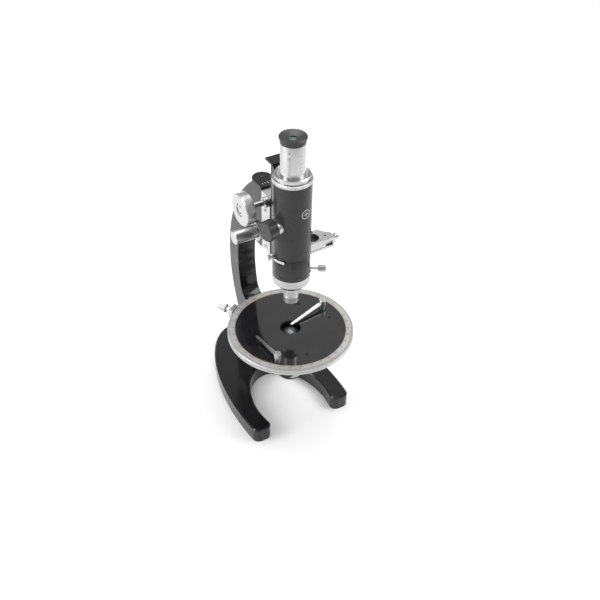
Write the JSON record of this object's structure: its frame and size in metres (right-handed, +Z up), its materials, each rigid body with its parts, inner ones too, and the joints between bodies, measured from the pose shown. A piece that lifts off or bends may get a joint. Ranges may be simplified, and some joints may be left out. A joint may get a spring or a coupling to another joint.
{
  "type": "polarizing microscope",
  "caption": "Black enamelled monocular microscope with a round rotating stage, horseshoe foot, C-shaped limb and nickel-plated focusing fittings.",
  "frame": {"origin": "on the table under the heel of the foot, on the plane of symmetry", "axes": "+Z up, -Y towards the toes and the user, +X to the user's right; the optical axis is vertical at x = 0, y = -100 mm"},
  "size_m": [0.1394, 0.2177, 0.363],
  "materials": {
    "black_enamel": "gloss",
    "black_lacquer": "high gloss",
    "black_fitting": "satin",
    "nickel_plate": "satin",
    "silvered_scale": "satin",
    "lens_glass": "polished",
    "filter_glass": "polished",
    "mirror": "polished"
  },
  "bodies": {
    "foot": {"foot": "black_enamel", "pillar": "black_enamel", "pivot_axle": "nickel_plate", "pivot_cap_left": "nickel_plate", "pivot_cap_right": "nickel_plate"},
    "arm": {"arm": "black_enamel", "head_cap": "black_enamel", "fine_flange": "nickel_plate", "stage_base": "black_enamel", "clamp_bracket": "nickel_plate", "condenser_sleeve": "black_enamel", "condenser": "black_fitting", "condenser_lens": "lens_glass", "mirror_socket": "black_enamel"},
    "fine_block": {"fine_slide": "nickel_plate", "pinion_bearing": "nickel_plate", "pinion_cover": "nickel_plate"},
    "fine_knob": {"fine_knob": "nickel_plate", "fine_spindle": "nickel_plate"},
    "coarse_knob": {"coarse_knob": "nickel_plate", "coarse_pinion": "nickel_plate"},
    "tube": {"carriage": "black_enamel", "tube_upper": "black_enamel", "tube_lower": "black_enamel", "collar_lower": "nickel_plate", "collar_upper": "nickel_plate", "nosepiece_ring": "nickel_plate", "objective": "nickel_plate", "objective_lens": "lens_glass", "analyzer_guide": "nickel_plate", "bertrand_collar": "nickel_plate"},
    "drawtube": {"drawtube": "nickel_plate"},
    "eyepiece": {"eyepiece": "black_fitting", "eye_lens": "lens_glass", "field_lens": "lens_glass"},
    "analyzer": {"analyzer_slide": "nickel_plate", "analyzer_filter": "filter_glass", "analyzer_knob": "nickel_plate"},
    "bertrand": {"bertrand_knob": "black_fitting", "bertrand_carrier": "black_fitting", "bertrand_lens": "lens_glass"},
    "prism_lever": {"prism_lever": "nickel_plate"},
    "centring_screw": {"centring_screw": "nickel_plate"},
    "stage": {"stage_disc": "black_lacquer", "scale_ring": "silvered_scale", "clip_post_left": "nickel_plate", "clip_post_right": "nickel_plate"},
    "clip_left": {"clip_blade_left": "nickel_plate"},
    "clip_right": {"clip_blade_right": "nickel_plate"},
    "clamp_screw": {"clamp_screw": "nickel_plate"},
    "polarizer": {"polarizer_ring": "black_fitting", "polarizer_filter": "filter_glass"},
    "mirror_fork": {"mirror_fork": "black_enamel"},
    "mirror": {"mirror_cell": "black_enamel", "mirror_glass": "mirror"}
  },
  "joints": [
    {"name": "arm_tilt", "type": "hinge", "parent": "foot", "child": "arm", "pos_m": [0, -0.018, 0.062], "axis": [-1, 0, 0], "range_deg": [0, 50]},
    {"name": "fine_focus", "type": "slide", "parent": "arm", "child": "fine_block", "axis": [0, 0, 1], "range_m": [-0.001, 0.001]},
    {"name": "fine_knob_turn", "type": "hinge", "parent": "arm", "child": "fine_knob", "pos_m": [0, -0.047, 0.226], "axis": [1, 0, 0], "range_deg": [-730, 730]},
    {"name": "coarse_focus", "type": "slide", "parent": "fine_block", "child": "tube", "axis": [0, 0, 1], "range_m": [-0.025, 0.03]},
    {"name": "coarse_knob_turn", "type": "hinge", "parent": "fine_block", "child": "coarse_knob", "pos_m": [0, -0.069, 0.275], "axis": [1, 0, 0], "range_deg": [-450, 380]},
    {"name": "drawtube_slide", "type": "slide", "parent": "tube", "child": "drawtube", "axis": [0, 0, 1], "range_m": [0, 0.012]},
    {"name": "eyepiece_lift", "type": "slide", "parent": "drawtube", "child": "eyepiece", "axis": [0, 0, 1], "range_m": [0, 0.04]},
    {"name": "analyzer_slide", "type": "slide", "parent": "tube", "child": "analyzer", "axis": [1, 0, 0], "range_m": [-0.024, 0]},
    {"name": "bertrand_turn", "type": "hinge", "parent": "tube", "child": "bertrand", "pos_m": [0, -0.1, 0.267], "axis": [-0.9877, -0.1564, 0], "range_deg": [0, 90]},
    {"name": "prism_lever_swing", "type": "hinge", "parent": "tube", "child": "prism_lever", "pos_m": [0, -0.1, 0.2275], "axis": [0, 0, 1], "range_deg": [-20, 20]},
    {"name": "centring_screw_turn", "type": "hinge", "parent": "tube", "child": "centring_screw", "pos_m": [0, -0.1, 0.207], "axis": [0.8572, -0.515, 0], "range_deg": [-180, 180]},
    {"name": "stage_turn", "type": "hinge", "parent": "arm", "child": "stage", "pos_m": [0, -0.1, 0.1], "axis": [0, 0, 1], "continuous": true},
    {"name": "clip_left_swing", "type": "hinge", "parent": "stage", "child": "clip_left", "pos_m": [-0.0389, -0.1394, 0.13], "axis": [0, 0, 1], "range_deg": [-60, 100]},
    {"name": "clip_right_swing", "type": "hinge", "parent": "stage", "child": "clip_right", "pos_m": [0.0492, -0.0874, 0.13], "axis": [0, 0, 1], "range_deg": [-100, 60]},
    {"name": "clamp_screw_turn", "type": "hinge", "parent": "arm", "child": "clamp_screw", "pos_m": [0, -0.1, 0.1188], "axis": [-0.5358, 0.8443, 0], "range_deg": [-180, 0]},
    {"name": "polarizer_turn", "type": "hinge", "parent": "arm", "child": "polarizer", "pos_m": [0, -0.1, 0.09], "axis": [0, 0, 1], "continuous": true},
    {"name": "mirror_fork_roll", "type": "hinge", "parent": "arm", "child": "mirror_fork", "pos_m": [0, -0.1, 0.069], "axis": [0, 1, 0], "range_deg": [-40, 40]},
    {"name": "mirror_tilt", "type": "hinge", "parent": "mirror_fork", "child": "mirror", "pos_m": [0, -0.1, 0.069], "axis": [1, 0, 0], "range_deg": [-85, 10]}
  ],
  "couplings": [
    {"joint": "fine_knob_turn", "follows": "fine_focus", "rad_per_m": 12566},
    {"joint": "coarse_knob_turn", "follows": "coarse_focus", "rad_per_m": -250}
  ]
}
